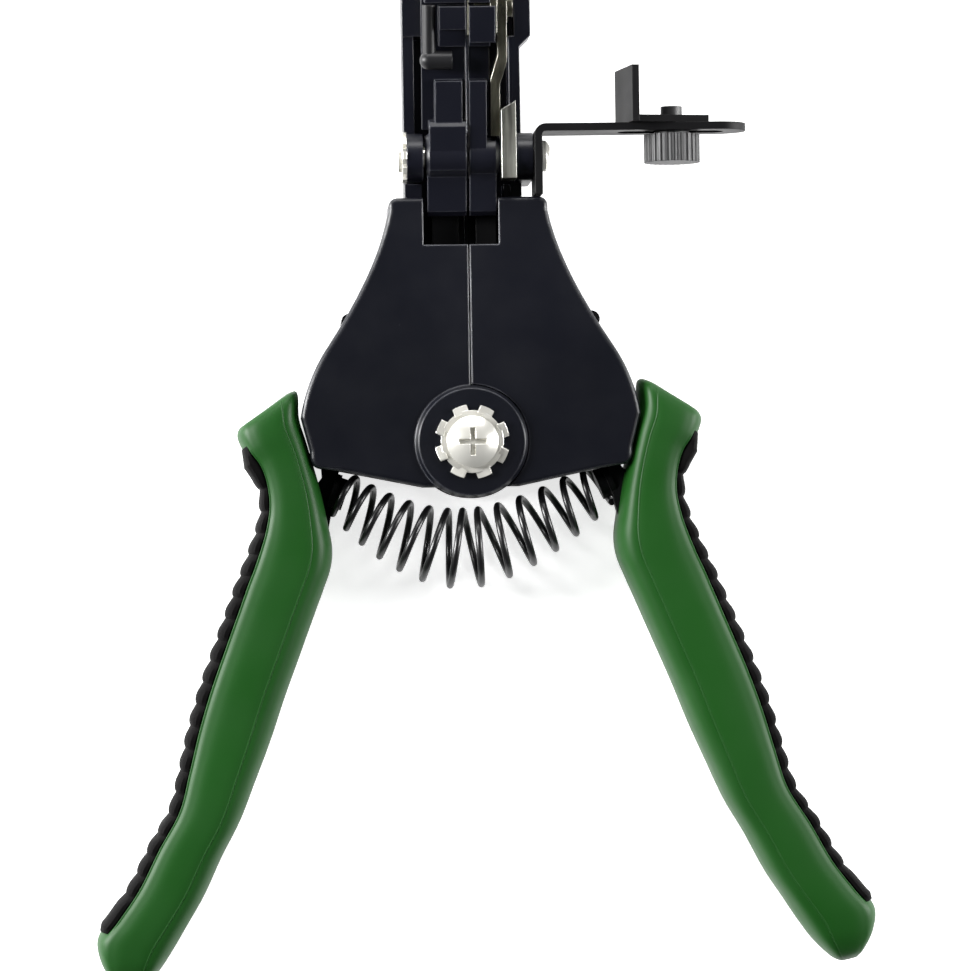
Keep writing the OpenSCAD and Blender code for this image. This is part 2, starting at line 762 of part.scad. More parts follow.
module tube(path, r, sides) {
    n = len(path) - 1;
    skin([for (k = [0 : n])
        tube_ring(path[k], path[max(k - 1, 0)], path[min(k + 1, n)], r, sides)]);
}

handle_path = [for (k = [0 : spring_coils * spring_rings]) spring_point(k)];

// Least distance between neighbouring turns, less the wire
function least_gap(path, per_turn, wire) = min([for (i = [0 : len(path) - 1])
    for (j = [i + per_turn / 2 : 1 : min(i + per_turn * 1.5, len(path) - 1)])
    norm(path[i] - path[j])]) - wire;
echo(handle_spring_least_gap = least_gap(handle_path, spring_rings, spring_wire));

module handle_spring() {
    color(black_colour) leaning() tube(handle_path, spring_wire / 2, spring_sides);
}

// Tension spring across the two halves, low in the body
frame_spring_r = 1.9;
frame_spring_z = plate_t + frame_spring_r * 1.42;
frame_leg = 1;
frame_hook = 0.5;
frame_spring_half = stud_x[LEFT] - stud_r - frame_leg * 2.2;
frame_path = concat(
    [[-stud_x[LEFT] + stud_r + frame_hook, stud_y, frame_spring_z],
        [-frame_spring_half - frame_leg, stud_y, frame_spring_z]],
    [for (k = [0 : frame_coils * spring_rings]) let (
        n = frame_coils * spring_rings, turn = 360 * k / spring_rings,
        r = frame_spring_r * min(1, min(k, n - k) / spring_rings + 0.3))
        [frame_spring_half * (2 * k / n - 1), stud_y + r * cos(turn), frame_spring_z + r * sin(turn)]],
    [[frame_spring_half + frame_leg, stud_y, frame_spring_z],
        [stud_x[RIGHT] - stud_r - frame_hook, stud_y, frame_spring_z]]);
echo(frame_spring_least_gap = least_gap(frame_path, spring_rings, frame_wire));

module frame_spring() {
    color(steel_colour) tube(frame_path, frame_wire / 2, spring_sides);
}

module spring_stud(side) {
    color(black_colour) mirrored(side) translate([stud_x[side], stud_y, 0])
        cylinder_between(plate_t + run_gap, plate_z - run_gap, stud_r);
}

// Sliding wedge: foot with a cross slot, bar and ramp
module jaw_wedge(side) {
    foot_low = crank_y - foot_half;
    foot_high = crank_y + foot_half;
    color(steel_colour) mirrored(side) {
        difference() {
            union() {
                block([bar_x, foot_low, foot_z], [foot_end_x, foot_high, foot_z + foot_t]);
                block([bar_x, foot_low + over, bar_z],
                    [bar_x + bar_w[side], foot_high + over, foot_z + foot_t]);
            }
            pin_slot();
            // Room for the lever eye under the foot
            cylinder(h = foot_z - slip_gap, r = lever_eye_r + wedge_travel + over);
        }
        y_z_plate(bar_x, bar_x + bar_w[side], [[foot_high, bar_z], [ramp_end, bar_z], [ramp_end, ramp_top],
            [ramp_start + ramp_run, ramp_top], [ramp_start, bar_top], [foot_high, bar_top]]);
    }
}

// Slot for the crank pin, along X
module pin_slot() {
    r = crank_pin_r + crank_slot_gap;
    x1 = crank_reach * cos(crank_turn - squeeze_angle);
    for (x = [crank_x, x1]) translate([x, crank_y, foot_z - over]) cylinder(h = foot_t + 2 * over, r = r);
    block([crank_x, crank_y - r, foot_z - over], [x1, crank_y + r, foot_z + foot_t + over]);
}

// Turns a closed jaw piece open about its pin
module opened() {
    translate([0, pin_y, pin_z]) rotate([open_angle, 0, 0]) translate([0, -pin_y, -pin_z]) children();
}

jaw_block_top = 4.4;
jaw_bridge_top = 0.6;
jaw_arm_top = 3.6;
hub_block_top = 4.2;
hub_block = [-1.9, 7];
hub_bevel = 0.8;
arm_notch = 0.7;
bridge_from = pin_y + 14.5;
bridge_to = pin_y + 20.8;
block_step = 3.2;
block_to = pin_y + 28.2;
block_w = [4.9, 4.8];
flange_w = 8.1;
nose_top = 3.2;
nose_bevel = 2.5;
nose_gap = 0.6;
jaw_floor = [bite_z + pad_t + 3 * bite_gap, bite_z + blade_step];
upper_blade_top = pin_z + nose_top * 0.84;

// Upper jaw with its hub, tail, arm, cross block and nose
module upper_jaw(side) {
    hub = head_gap + hub_w[side];
    arm = head_gap + arm_w[side];
    nose = side == LEFT ? hub - fit_gap : arm;
    tail_tip = pin_y - tail_len;
    color(cast_colour) mirrored(side) opened() difference() {
        union() {
            hub(side, hub);
            // Tail with its lug
            y_z_plate(head_gap, head_gap + tail_w[side], [
                [tail_tip, pin_z + tail_lug_z], [tail_tip + tail_lug_t, pin_z + tail_lug_z],
                [tail_tip + tail_lug_t, pin_z + tail_thin_z], [pin_y - hub_r[side] * 0.7, pin_z + tail_thin_z],
                [pin_y, pin_z], [pin_y, pin_z + tail_top], [tail_tip + tail_bevel, pin_z + tail_top],
                [tail_tip, pin_z + tail_top - tail_bevel]]);
            // Arm between the hub and the bridge
            y_z_plate(head_gap + arm_notch * (1 - side), side == LEFT ? arm : arm - arm_notch,
                [[pin_y, pin_z - pin_r], [bridge_from, jaw_floor[side]],
                [bridge_from, pin_z + jaw_arm_top], [pin_y, pin_z + jaw_arm_top]]);
            // Low bridge, wider on the left side
            y_z_plate(head_gap, side == LEFT ? head_gap + flange_w : arm, [
                [pin_y + ear_r * 1.2, jaw_floor[side]], [jaw_tip - nose_bevel, jaw_floor[side]],
                [jaw_tip - nose_bevel, pin_z + jaw_bridge_top], [pin_y + ear_r * 1.2, pin_z + jaw_bridge_top]]);
            cross_block(side);
            y_z_plate(head_gap, nose, [[block_to + nose_gap, jaw_floor[RIGHT]], [jaw_tip, jaw_floor[RIGHT]],
                [jaw_tip, pin_z + nose_top - nose_bevel], [jaw_tip - nose_bevel, pin_z + nose_top],
                [block_to + nose_gap, pin_z + nose_top]]);
        }
        x_rod(head_gap - over, hub + over, pin_y, pin_z, pin_r + run_gap);
        if (side == LEFT)
            block([-over, tip_start - fit_gap, bite_z - over],
                [head_gap + flange_w + over, jaw_tip + over, jaw_floor[LEFT] - bite_gap]);
        else
            for (y = blade_screw_ys)
                x_rod(head_gap + over, arm + over, y, upper_screw_z, small_screw_r + run_gap);
    }
}

// Hub round the pin, with a bevelled outer end and a flat block on top of the left one
module hub(side, hub) {
    r = hub_r[side];
    x_rod(head_gap, hub - hub_bevel, pin_y, pin_z, r);
    translate([hub - hub_bevel, pin_y, pin_z]) rotate([0, 90, 0])
        cylinder(h = hub_bevel, r1 = r, r2 = r - hub_bevel * 0.8);
    if (side == LEFT)
        y_z_plate(head_gap, hub - hub_bevel, [[pin_y, pin_z - pin_r], [pin_y + hub_block[1], pin_z],
            [pin_y + hub_block[1], pin_z + hub_block_top - hub_bevel],
            [pin_y + hub_block[1] - hub_bevel, pin_z + hub_block_top],
            [pin_y + hub_block[0], pin_z + hub_block_top], [pin_y + hub_block[0], pin_z]]);
}

// Raised block across the jaw, stepped on the left and lipped over the blade on the right
module cross_block(side) {
    top = pin_z + jaw_block_top;
    low = pin_z - over;
    step = side == LEFT ? block_step : hub_bevel;
    y_z_plate(head_gap, head_gap + min(block_w[side], arm_w[side]), [[bridge_to, low], [block_to, low],
        [block_to, top], [bridge_to + step, top], [bridge_to + step, top - hub_bevel],
        [bridge_to, top - hub_bevel * 1.5]]);
    if (side == RIGHT)
        block([head_gap, bridge_to + hub_bevel, upper_blade_top + fit_gap],
            [head_gap + block_w[RIGHT], block_to, top]);
}

// Serrated pad with ridges along Y; up is 1 for the upper pad and -1 for the lower one
module grip_pad(face_z, up) {
    x0 = head_gap + fit_gap;
    x1 = head_gap + hub_w[LEFT] - 2 * fit_gap;
    count = floor((x1 - x0) / tooth_pitch);
    pitch = (x1 - x0) / count;
    teeth = [for (i = [0 : count - 1])
        each [[x0 + pitch * i, up * tooth_h], [x0 + pitch * (i + 0.5), 0]]];
    translate([0, jaw_tip - over, face_z]) rotate([90, 0, 0])
        linear_extrude(jaw_tip - over - tip_start - fit_gap)
        polygon(concat(teeth, [[x1, up * tooth_h], [x1, up * (pad_t - fit_gap)],
            [x0, up * (pad_t - fit_gap)]]));
}

module upper_grip_pad() {
    color(steel_colour) mirrored(LEFT) opened() grip_pad(bite_z + bite_gap, 1);
}

module lower_grip_pad() {
    color(steel_colour) mirrored(LEFT) grip_pad(bite_z - bite_gap, -1);
}

// Bent rod beside the cross block, thicker at its foot
rod_r = 1.2;
rod_foot_r = 1.75;
rod_x = 7;
rod_foot_x = 2.8;
rod_z = pin_z + jaw_bridge_top + rod_foot_r + bite_gap;
rod_y = bridge_from + rod_r * 3.1;

module pad_retainer() {
    color(black_colour) mirrored(LEFT) opened() {
        translate([rod_x, rod_y, rod_z]) rotate([-90, 0, 0])
            cylinder(h = block_to + slip_gap - rod_y, r = rod_r);
        translate([rod_x, rod_y, rod_z]) sphere(r = rod_foot_r);
        x_rod(rod_foot_x, rod_x, rod_y, rod_z, rod_foot_r);
    }
}

notch_shares = [0.10, 0.25, 0.41, 0.57, 0.73, 0.88];
notch_rs = [0.5, 0.65, 0.8, 1.05, 1.35, 1.7];

module notches(z) {
    for (i = [0 : len(notch_shares) - 1])
        x_rod(blade_x - over, blade_x + blade_t + over,
            jaw_tip - over - notch_shares[i] * (jaw_tip - over - tip_start), z, notch_rs[i]);
}

module upper_blade() {
    color(steel_colour) opened() difference() {
        block([blade_x, tip_start, bite_z + bite_gap], [blade_x + blade_t, jaw_tip - over, upper_blade_top]);
        notches(bite_z);
        for (y = blade_screw_ys)
            x_rod(blade_x - over, blade_x + blade_t + over, y, upper_screw_z, small_screw_r + fit_gap);
    }
}

module lower_blade() {
    color(steel_colour) difference() {
        block([blade_x, tip_start, lower_blade_foot], [blade_x + blade_t, jaw_tip - over, bite_z - bite_gap]);
        notches(bite_z);
        for (y = blade_screw_ys)
            x_rod(blade_x - over, blade_x + blade_t + over, y, lower_screw_z, small_screw_r + fit_gap);
    }
}

// Cranked steel strip beside the right upper jaw
arm_in_x = head_gap + arm_w[RIGHT] + fit_gap;
arm_out_x = blade_x + blade_t + fit_gap;

jog_from = pin_y + 13.6;
jog_to = pin_y + 17.9;
jog_bend = 1.1;
strip_depth = 1.6;

module blade_arm() {
    low = pin_z - strip_depth;
    foot = pin_y + hub_r[RIGHT] + fit_gap;
    color(steel_colour) opened() difference() {
        translate([0, 0, low]) linear_extrude(upper_blade_top - low) polygon([
            [arm_in_x, foot], [arm_in_x + blade_arm_t, foot], [arm_in_x + blade_arm_t, jog_from],
            [arm_out_x + blade_arm_t, jog_to], [arm_out_x + blade_arm_t, jaw_tip - over],
            [arm_out_x, jaw_tip - over], [arm_out_x, jog_to + jog_bend], [arm_in_x, jog_from + jog_bend]]);
        for (y = blade_screw_ys)
            x_rod(arm_out_x - over, arm_out_x + blade_arm_t + over, y, upper_screw_z, small_screw_r + fit_gap);
    }
}

module blade_clamp() {
    color(steel_colour) difference() {
        block([arm_out_x, tip_start, lower_blade_foot],
            [arm_out_x + blade_arm_t, jaw_tip - over, bite_z - blade_step - slip_gap]);
        for (y = blade_screw_ys)
            x_rod(arm_out_x - over, arm_out_x + blade_arm_t + over, y, lower_screw_z, small_screw_r + fit_gap);
    }
}

module blade_screws(z) {
    for (y = blade_screw_ys) {
        x_rod(head_gap + over + fit_gap, arm_out_x + blade_arm_t, y, z, small_screw_r);
        x_rod(arm_out_x + blade_arm_t, arm_out_x + blade_arm_t + small_head_t, y, z, small_head_r);
    }
}

module upper_blade_screws() {
    color(steel_colour) opened() blade_screws(upper_screw_z);
}

module lower_blade_screws() {
    color(steel_colour) blade_screws(lower_screw_z);
}

jaw_head_t = 2;
jaw_head_r = [2.75, 2.9];
jaw_slot_w = 0.7;
jaw_washer_t = 0.8;
jaw_washer_r = 4.7;
jaw_washer_teeth = 10;
jaw_tooth_w = 1.4;

module jaw_pin(side) {
    seat = side == LEFT ? ear_out[LEFT] + jaw_washer_t : ear_out[RIGHT] + sheet_t + 2 * slip_gap;
    color(bright_colour) mirrored(side) {
        x_rod(head_gap + 2 * slip_gap, seat, pin_y, pin_z, pin_r);
        translate([0, pin_y, pin_z]) rotate([0, 90, 0]) difference() {
            pan_head(seat, jaw_head_r[side], jaw_head_t);
            translate([-jaw_head_r[side], -jaw_slot_w / 2, seat + jaw_head_t * 0.6])
                cube([jaw_head_r[side] * 2, jaw_slot_w, jaw_head_t]);
        }
    }
}

module jaw_lock_washer() {
    color(bright_colour) mirrored(LEFT) translate([ear_out[LEFT], pin_y, pin_z]) rotate([0, 90, 0])
        difference() {
            union() {
                cylinder(h = jaw_washer_t, r = jaw_washer_r * 0.74);
                for (i = [0 : jaw_washer_teeth - 1]) rotate([0, 0, 360 * i / jaw_washer_teeth])
                    translate([jaw_washer_r * 0.6, -jaw_tooth_w / 2, 0])
                        cube([jaw_washer_r * 0.4, jaw_tooth_w, jaw_washer_t]);
            }
            translate([0, 0, -over]) cylinder(h = jaw_washer_t + 2 * over, r = pin_r + run_gap);
        }
}

latch_x = head_gap + hub_w[RIGHT] + slip_gap;
latch_t = ear_out[RIGHT] - ear_t - slip_gap - latch_x;
latch_low = [-4.3, -3.4];
latch_h = 8.4;
latch_ends = [8.3, 9.9];

// Ground bar on the right jaw pin, its upper end cut slantwise
module release_latch() {
    color(bright_colour) difference() {
        translate([0, pin_y, pin_z + latch_low[1]]) linear_extrude(latch_h) polygon([
            [latch_x, latch_low[0]], [latch_x + latch_t, latch_low[0]],
            [latch_x + latch_t, latch_ends[1]], [latch_x, latch_ends[0]]]);
        x_rod(latch_x - over, latch_x + latch_t + over, pin_y, pin_z, pin_r + run_gap);
    }
}

leg_x = ear_out[RIGHT] + slip_gap;
arm_y = pin_y + sheet_t * 3.05;
bend_r = sheet_t * 1.5;
thumb_x = stop_reach * thumb_share;
slot_from = stop_reach * 0.58;
slot_to = stop_reach * 0.88;
stud_thread_r = 2;

// Bracket with a leg under the jaw pin's head and a slotted arm
module stop_bracket() {
    z0 = pin_z - sheet_w / 2;
    low = body_top + slip_gap;
    color(black_colour) difference() {
        union() {
            translate([0, 0, z0]) linear_extrude(sheet_w) polygon(concat(
                [[leg_x, low], [leg_x + sheet_t, low]],
                arc([leg_x + bend_r, arm_y - bend_r + sheet_t], bend_r - sheet_t, 180, 90, 6),
                [[stop_reach - sheet_w / 2, arm_y], [stop_reach - sheet_w / 2, arm_y + sheet_t]],
                arc([leg_x + bend_r, arm_y - bend_r + sheet_t], bend_r, 90, 180, 8)));
            translate([stop_reach - sheet_w / 2, arm_y, pin_z]) rotate([-90, 0, 0])
                cylinder(h = sheet_t, r = sheet_w / 2);
        }
        x_rod(leg_x - over, leg_x + sheet_t + over, pin_y, pin_z, pin_r + run_gap);
        block([slot_from, arm_y - over, pin_z - stud_thread_r - fit_gap],
            [slot_to, arm_y + sheet_t + over, pin_z + stud_thread_r + fit_gap]);
        for (x = [slot_from, slot_to]) translate([x, arm_y - over, pin_z]) rotate([-90, 0, 0])
            cylinder(h = sheet_t + 2 * over, r = stud_thread_r + fit_gap);
    }
}

slider_gap = run_gap * 0.4;
slider_z = arm_y + sheet_t + slider_gap;
slider_t = 1.3;
slider_len = stop_reach * 0.262;

// Slider with the upright stop plate
module stop_slider() {
    color(black_colour) translate([thumb_x, 0, pin_z]) rotate([0, slider_turn, 0]) difference() {
        union() {
            block([-slider_len * 0.67, slider_z, -sheet_w / 2],
                [slider_len * 0.42, slider_z + slider_t, sheet_w / 2]);
            block([-slider_len * 0.67, slider_z, -sheet_w * 0.6],
                [-slider_len * 0.67 + slider_t, slider_z + flag_h, sheet_w * 0.6]);
        }
        translate([0, slider_z - over, 0]) rotate([-90, 0, 0])
            cylinder(h = slider_t + 2 * over, r = stud_thread_r + run_gap);
    }
}

knob_h = 5.2;
collar_h = 0.5;
collar_r = 3.3;
flutes = 28;
flute_r = 0.4;
thread_end = 2;

module thumb_screw() {
    knob_y = arm_y - slider_gap - collar_h;
    color(black_colour) translate([thumb_x, knob_y, pin_z]) rotate([-90, 0, 0]) {
        difference() {
            translate([0, 0, -knob_h]) cylinder(h = knob_h, r = knob_d / 2);
            for (i = [0 : flutes - 1]) rotate([0, 0, 360 * i / flutes])
                translate([knob_d / 2 + flute_r * 0.4, 0, -knob_h - over])
                cylinder(h = knob_h + 2 * over, r = flute_r);
        }
        cylinder(h = collar_h, r = collar_r);
        cylinder(h = collar_h + sheet_t + slider_t + thread_end, r = stud_thread_r);
    }
}

frame_left();
frame_right();
cover_left();
cover_right();
body_screws(LEFT);  // body_screws_left
body_screws(RIGHT);  // body_screws_right
pivot_sleeve();
pivot_screw();
pivot_lock_washer();
lever(LEFT, left_lever_z);  // lever_left
lever(RIGHT, right_lever_z);  // lever_right
grip(LEFT, left_lever_z);  // grip_left
grip(RIGHT, right_lever_z);  // grip_right
grip_insert(LEFT);  // grip_insert_left
grip_insert(RIGHT);  // grip_insert_right
handle_spring();
frame_spring();
spring_stud(LEFT);  // spring_stud_left
spring_stud(RIGHT);  // spring_stud_right
jaw_wedge(LEFT);  // jaw_wedge_left
jaw_wedge(RIGHT);  // jaw_wedge_right
upper_jaw(LEFT);  // upper_jaw_left
upper_jaw(RIGHT);  // upper_jaw_right
upper_grip_pad();
lower_grip_pad();
pad_retainer();
upper_blade();
lower_blade();
blade_arm();
blade_clamp();
upper_blade_screws();
lower_blade_screws();
jaw_pin(LEFT);  // jaw_pin_left
jaw_pin(RIGHT);  // jaw_pin_right
jaw_lock_washer();
release_latch();
stop_bracket();
stop_slider();
thumb_screw();
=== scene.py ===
"""Looks of the automatic wire stripper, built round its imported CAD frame.

Sizes are in millimetres and are turned into metres where a mesh is made.
"""

import json
import math

import bmesh
import bpy
import numpy as np
from mathutils import Matrix, Vector


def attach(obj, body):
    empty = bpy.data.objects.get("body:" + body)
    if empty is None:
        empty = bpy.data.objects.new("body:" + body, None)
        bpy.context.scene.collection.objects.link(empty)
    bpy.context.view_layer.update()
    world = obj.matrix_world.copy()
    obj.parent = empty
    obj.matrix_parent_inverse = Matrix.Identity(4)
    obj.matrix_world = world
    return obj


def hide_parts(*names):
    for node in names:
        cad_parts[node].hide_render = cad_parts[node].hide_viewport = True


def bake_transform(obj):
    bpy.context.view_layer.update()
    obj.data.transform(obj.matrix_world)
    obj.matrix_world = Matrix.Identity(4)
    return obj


MM = 0.001

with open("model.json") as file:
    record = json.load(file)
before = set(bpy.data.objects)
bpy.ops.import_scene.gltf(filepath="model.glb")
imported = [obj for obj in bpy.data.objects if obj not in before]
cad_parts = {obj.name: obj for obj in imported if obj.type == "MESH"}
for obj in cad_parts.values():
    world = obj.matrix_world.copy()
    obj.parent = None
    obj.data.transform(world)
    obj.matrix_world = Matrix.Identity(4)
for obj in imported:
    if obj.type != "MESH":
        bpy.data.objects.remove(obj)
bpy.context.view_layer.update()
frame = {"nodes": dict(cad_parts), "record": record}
nodes = frame["nodes"]


# ---------------------------------------------------------------- camera

CAMERA_DISTANCE = 700
CAMERA_TILT = math.radians(3.0)
CAMERA_ROLL = math.radians(0.9)
CAMERA_OFFSET = (-3.32, 8.1)
MM_PER_PIXEL = 0.19
IMAGE_LONG_SIDE = 971
SENSOR = 36


def make_camera():
    """The camera looks straight down on the tool from the photograph's angle."""
    tilt = Matrix.Rotation(CAMERA_TILT, 3, "Y")
    roll = Matrix.Rotation(CAMERA_ROLL, 3, "Z")
    back = (roll @ tilt).transposed()
    data = bpy.data.cameras.new("camera")
    data.sensor_width = SENSOR
    data.lens = CAMERA_DISTANCE * SENSOR / (IMAGE_LONG_SIDE * MM_PER_PIXEL)
    data.clip_start, data.clip_end = 0.05, 20
    cam = bpy.data.objects.new("camera", data)
    bpy.context.scene.collection.objects.link(cam)
    place = back @ Vector((-CAMERA_OFFSET[0], -CAMERA_OFFSET[1], CAMERA_DISTANCE)) * MM
    cam.matrix_world = Matrix.Translation(place) @ back.to_4x4()
    bpy.context.scene.camera = cam


# ---------------------------------------------------------------- materials


# Scales of the noise, in turns per metre, and its detail
DRIFT_NOISE = (28, 4)
RUB_AND_HIGHLIGHT_NOISE = (220, 5)
ROUGH_NOISE = (90, 5)
STREAK_NOISE = (900, 3)
TINT_NOISE = (120, 5)
GRAIN_DETAIL = 4
GRAIN_STRENGTH = 0.35
STREAK_DEPTH = 0.03
STREAK_STRENGTH = 0.25
# How much of the edge colour the edges take: partly rubbed wear, partly a painted highlight
RUB_AND_HIGHLIGHT_SHARE = (0.15, 0.8)
# Cosine between the rounded and the true normal on an edge and on a face
EDGE_COSINE = (0.80, 0.985)
BEVEL_SAMPLES = 6


class Nodes:
    """Short ways to add and join shader nodes."""

    def __init__(self, name):
        self.material = bpy.data.materials.new(name)
        self.material.use_nodes = True
        self.tree = self.material.node_tree
        self.shader = self.tree.nodes["Principled BSDF"]
        self.place = self.add("ShaderNodeTexCoord").outputs["Object"]

    def add(self, kind, **values):
        node = self.tree.nodes.new(kind)
        for key, value in values.items():
            setattr(node, key, value)
        return node

    def join(self, out, into):
        self.tree.links.new(out, into)

    def noise(self, scale, detail=3.0, stretch=None):
        """Noise in object space; stretch squeezes it along the axes into streaks."""
        source = self.place
        if stretch:
            mapping = self.add("ShaderNodeMapping")
            mapping.inputs["Scale"].default_value = stretch
            self.join(source, mapping.inputs["Vector"])
            source = mapping.outputs["Vector"]
        node = self.add("ShaderNodeTexNoise")
        node.inputs["Scale"].default_value = scale
        node.inputs["Detail"].default_value = detail
        self.join(source, node.inputs["Vector"])
        return node.outputs["Fac"]

    def span(self, fac, low, high, from_low=0.3, from_high=0.7):
        node = self.add("ShaderNodeMapRange")
        node.inputs["From Min"].default_value = from_low
        node.inputs["From Max"].default_value = from_high
        node.inputs["To Min"].default_value = low
        node.inputs["To Max"].default_value = high
        self.join(fac, node.inputs["Value"])
        return node.outputs["Result"]

    def blend(self, fac, a, b):
        """Colour between a and b, which are colours or sockets."""
        node = self.add("ShaderNodeMix", data_type="RGBA")
        self.join(fac, node.inputs["Factor"])
        colours = [s for s in node.inputs if s.type == "RGBA"]
        for value, socket in ((a, colours[0]), (b, colours[1])):
            if isinstance(value, tuple):
                socket.default_value = (*value, 1)
            else:
                self.join(value, socket)
        return [s for s in node.outputs if s.type == "RGBA"][0]

    def rounded(self, radius_mm):
        node = self.add("ShaderNodeBevel", samples=BEVEL_SAMPLES)
        node.inputs["Radius"].default_value = radius_mm * MM
        return node.outputs["Normal"]

    def bump(self, height, depth_mm, strength, normal=None):
        node = self.add("ShaderNodeBump")
        node.inputs["Distance"].default_value = depth_mm * MM
        node.inputs["Strength"].default_value = strength
        self.join(height, node.inputs["Height"])
        if normal is not None:
            self.join(normal, node.inputs["Normal"])
        return node.outputs["Normal"]

    def edges(self, rounded):
        """Near 1 on sharp edges and 0 elsewhere."""
        true = self.add("ShaderNodeNewGeometry").outputs["Normal"]
        dot = self.add("ShaderNodeVectorMath", operation="DOT_PRODUCT")
        self.join(rounded, dot.inputs[0])
        self.join(true, dot.inputs[1])
        return self.span(dot.outputs["Value"], 1.0, 0.0, *EDGE_COSINE)

    def finish(self, colour, roughness, normal, **fixed):
        self.join(colour, self.shader.inputs["Base Color"])
        self.join(roughness, self.shader.inputs["Roughness"])
        self.join(normal, self.shader.inputs["Normal"])
        for key, value in fixed.items():
            self.shader.inputs[key.replace("_", " ")].default_value = value
        return self.material


def coated(name, dark, light, roughness, grain_mm, grain_depth, round_mm, edge, **fixed):
    """Moulded or painted skin: slow colour drift, fine grain and paler edges, partly rubbed wear and
    partly a painted highlight along the rims.
    """
    n = Nodes(name)
    drift = n.noise(*DRIFT_NOISE)
    fine = n.noise(1 / (grain_mm * MM), GRAIN_DETAIL)
    skin = n.blend(n.span(drift, 0, 1), dark, light)
    rounded = n.rounded(round_mm)
    # Paler edges: partly rubbed wear, partly a painted highlight along the rims
    worn_and_highlit = n.add("ShaderNodeMath", operation="MULTIPLY")
    n.join(n.edges(rounded), worn_and_highlit.inputs[0])
    n.join(n.span(n.noise(*RUB_AND_HIGHLIGHT_NOISE), *RUB_AND_HIGHLIGHT_SHARE), worn_and_highlit.inputs[1])
    colour = n.blend(worn_and_highlit.outputs["Value"], skin, edge)
    rough = n.span(n.noise(*ROUGH_NOISE), *roughness)
    return n.finish(colour, rough, n.bump(fine, grain_depth, GRAIN_STRENGTH, rounded), **fixed)


def metal(name, dark, light, roughness, streak, round_mm, edge, metallic=1.0):
    """Bare or plated metal with fine streaks; streak stretches their noise along X, Y and Z."""
    n = Nodes(name)
    lines = n.noise(*STREAK_NOISE, streak)
    colour = n.blend(n.span(n.noise(*TINT_NOISE), 0, 1), dark, light)
    rounded = n.rounded(round_mm)
    # Edges take the paler edge colour: a painted highlight along the rims, partly also wear
    colour = n.blend(n.edges(rounded), colour, edge)
    rough = n.span(lines, *roughness)
    bumps = n.bump(lines, STREAK_DEPTH, STREAK_STRENGTH, rounded)
    return n.finish(colour, rough, bumps, Metallic=metallic)


def make_materials():
    """Coated looks list the grain's size and depth and the edges' radius, all in millimetres."""
    # The last colour of each look is laid on its edges: a painted highlight along the rims, on coated
    # looks partly rubbed wear too
    return {
        "cast": coated(
            "cast_body", (0.0030, 0.0034, 0.0066), (0.0046, 0.0050, 0.0092), (0.30, 0.38),
            0.32, 0.02, 0.35, (0.150, 0.155, 0.180), Specular_IOR_Level=0.3),
        "cover": coated(
            "moulded_cover", (0.0018, 0.0022, 0.0044), (0.0030, 0.0034, 0.0064), (0.30, 0.38),
            0.32, 0.02, 0.5, (0.150, 0.155, 0.180), Specular_IOR_Level=0.42),
        "satin_steel": coated(
            "satin_steel", (0.007, 0.007, 0.0078), (0.011, 0.011, 0.012), (0.34, 0.44),
            0.22, 0.02, 0.2, (0.05, 0.05, 0.052), Specular_IOR_Level=0.25),
        "black_steel": coated(
            "black_steel", (0.003, 0.003, 0.0035), (0.006, 0.006, 0.0065), (0.40, 0.52),
            0.22, 0.02, 0.2, (0.030, 0.029, 0.028), Specular_IOR_Level=0.11),
        "spring_steel": coated(
            "black_spring", (0.003, 0.003, 0.0035), (0.006, 0.006, 0.0065), (0.26, 0.36),
            0.3, 0.01, 0.05, (0.02, 0.02, 0.02)),
        "grip_green": coated(
            "green_plastic", (0.0046, 0.045, 0.0038), (0.0064, 0.056, 0.0052), (0.44, 0.54),
            0.24, 0.014, 0.1, (0.03, 0.16, 0.03), Specular_IOR_Level=0.22),
        "insert_black": coated(
            "insert_rubber", (0.0016, 0.0014, 0.0015), (0.0028, 0.0024, 0.0026), (0.62, 0.82),
            0.18, 0.03, 0.1, (0.006, 0.005, 0.005), Specular_IOR_Level=0.05),
        "knob_black": coated(
            "knob_plastic", (0.014, 0.014, 0.015), (0.022, 0.022, 0.023), (0.42, 0.55),
            0.25, 0.02, 0.2, (0.06, 0.06, 0.06)),
        "plain_steel": metal(
            "ground_steel", (0.15, 0.145, 0.105), (0.27, 0.26, 0.20), (0.26, 0.46),
            (1, 0.06, 1), 0.15, (0.55, 0.53, 0.47)),
        "latch_steel": metal(
            "latch_steel", (0.24, 0.24, 0.21), (0.38, 0.38, 0.34), (0.30, 0.52),
            (1, 0.06, 1), 0.15, (0.75, 0.75, 0.70)),
        "bright_steel": metal(
            "bright_nickel", (0.88, 0.865, 0.79), (0.97, 0.955, 0.89), (0.13, 0.27),
            (0.3, 0.3, 0.3), 0.15, (0.95, 0.94, 0.90), 0.64),
    }


# ---------------------------------------------------------------- meshes


def add_mesh(name, points_mm, faces, material, smooth_angle=None):
    mesh = bpy.data.meshes.new(name)
    mesh.from_pydata([tuple(float(c) * MM for c in p) for p in points_mm], [], faces)
    mesh.validate()
    grown = bmesh.new()
    grown.from_mesh(mesh)
    bmesh.ops.recalc_face_normals(grown, faces=grown.faces)
    grown.to_mesh(mesh)
    grown.free()
    for polygon in mesh.polygons:
        polygon.use_smooth = True
    if smooth_angle:
        mesh.set_sharp_from_angle(angle=math.radians(smooth_angle))
    mesh.materials.append(material)
    made = bpy.data.objects.new(name, mesh)
    bpy.context.scene.collection.objects.link(made)
    return made


def skin_faces(rings, around, closed_ends=True):
    faces = [
        (k * around + i, k * around + (i + 1) % around,
         (k + 1) * around + (i + 1) % around, (k + 1) * around + i)
        for k in range(rings - 1) for i in range(around)
    ]
    if closed_ends:
        faces.append(tuple(reversed(range(around))))
        faces.append(tuple((rings - 1) * around + i for i in range(around)))
    return faces


